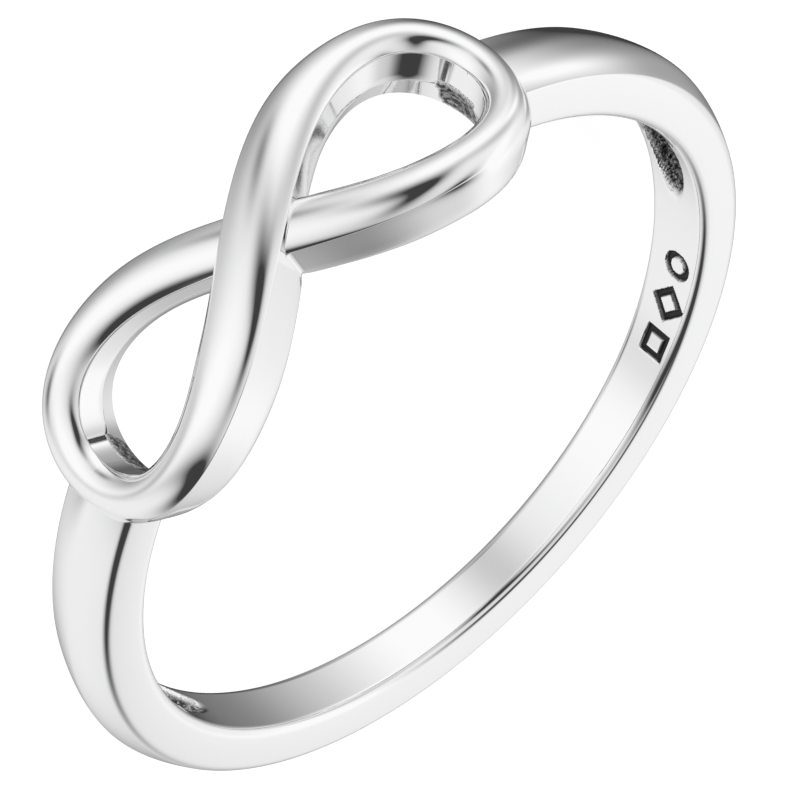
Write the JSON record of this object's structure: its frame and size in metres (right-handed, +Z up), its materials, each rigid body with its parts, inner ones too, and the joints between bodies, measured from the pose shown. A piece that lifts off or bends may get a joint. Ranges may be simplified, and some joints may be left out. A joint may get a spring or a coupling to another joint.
{
  "type": "infinity ring",
  "caption": "Polished silver finger ring, tapered, with a pierced figure-eight head of two crossing strands, lying on its side.",
  "frame": {"origin": "bottom centre of the bounding box, on the surface that the ring lies on", "axes": "+Z up, head of the ring facing -Y, finger axis nearly along +Z, tipped 5.8 degrees towards +Y"},
  "size_m": [0.02, 0.0206, 0.0052],
  "materials": {
    "silver": "polished"
  },
  "bodies": {
    "root": {"ring": "silver"}
  },
  "joints": []
}
